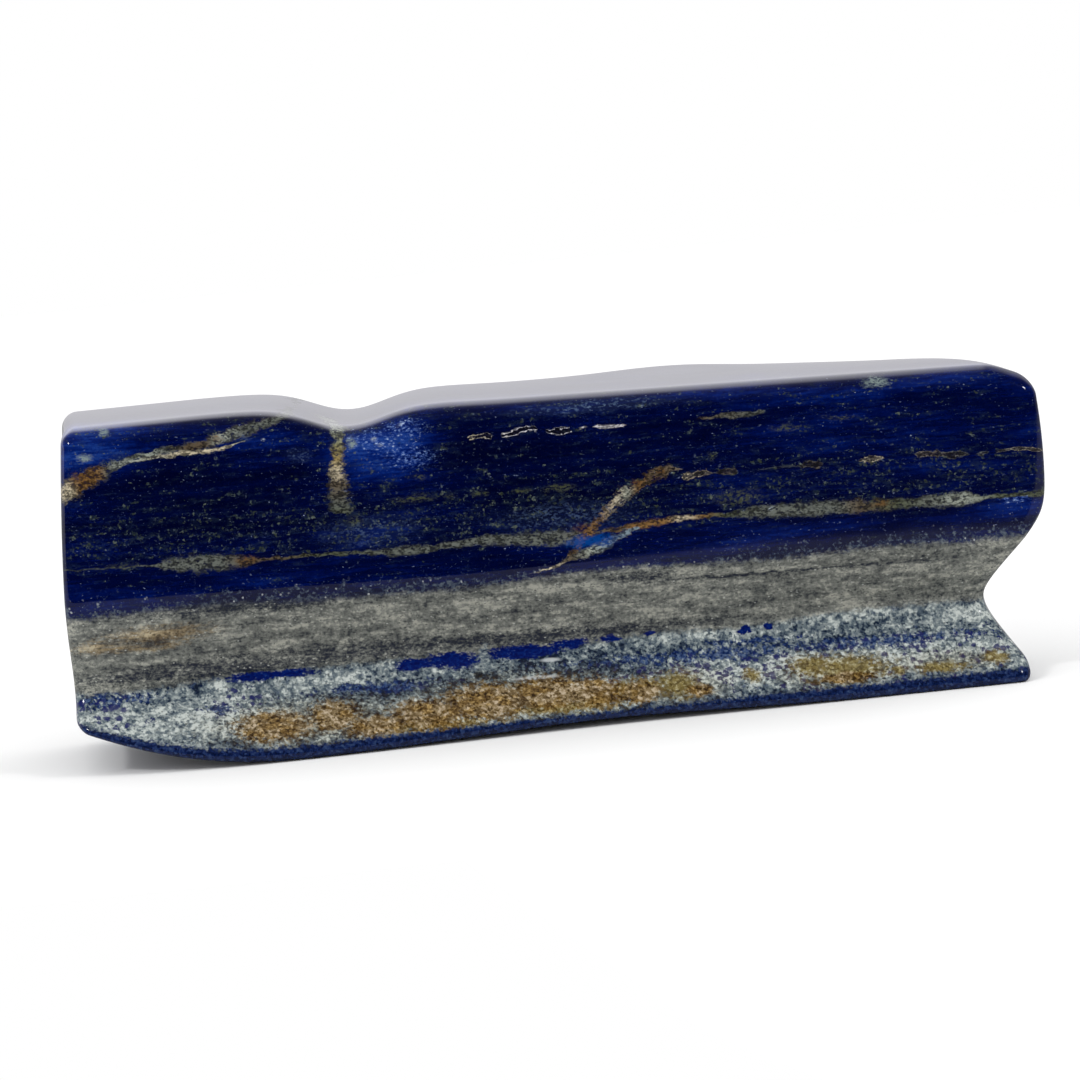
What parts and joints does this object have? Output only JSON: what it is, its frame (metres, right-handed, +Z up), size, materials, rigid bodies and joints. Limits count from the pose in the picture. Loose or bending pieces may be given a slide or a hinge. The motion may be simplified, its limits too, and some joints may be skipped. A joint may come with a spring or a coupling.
{
  "type": "polished lapis lazuli block",
  "caption": "Polished free-form block of layered lapis lazuli with rounded edges, a saddle across its top, a groove worn round its front and right end, and a flaring foot with a flat underside.",
  "frame": {"origin": "on the resting plane, under the middle of the block's box", "axes": "+X along the length towards the end with the deep groove, +Y from the grooved front to the back, +Z up"},
  "size_m": [0.1996, 0.0584, 0.0695],
  "materials": {
    "lapis": "high polish, layered ultramarine blue with grey marble bands, rust-brown seams and fine golden grains"
  },
  "bodies": {
    "root": {"stone": "lapis"}
  },
  "joints": []
}
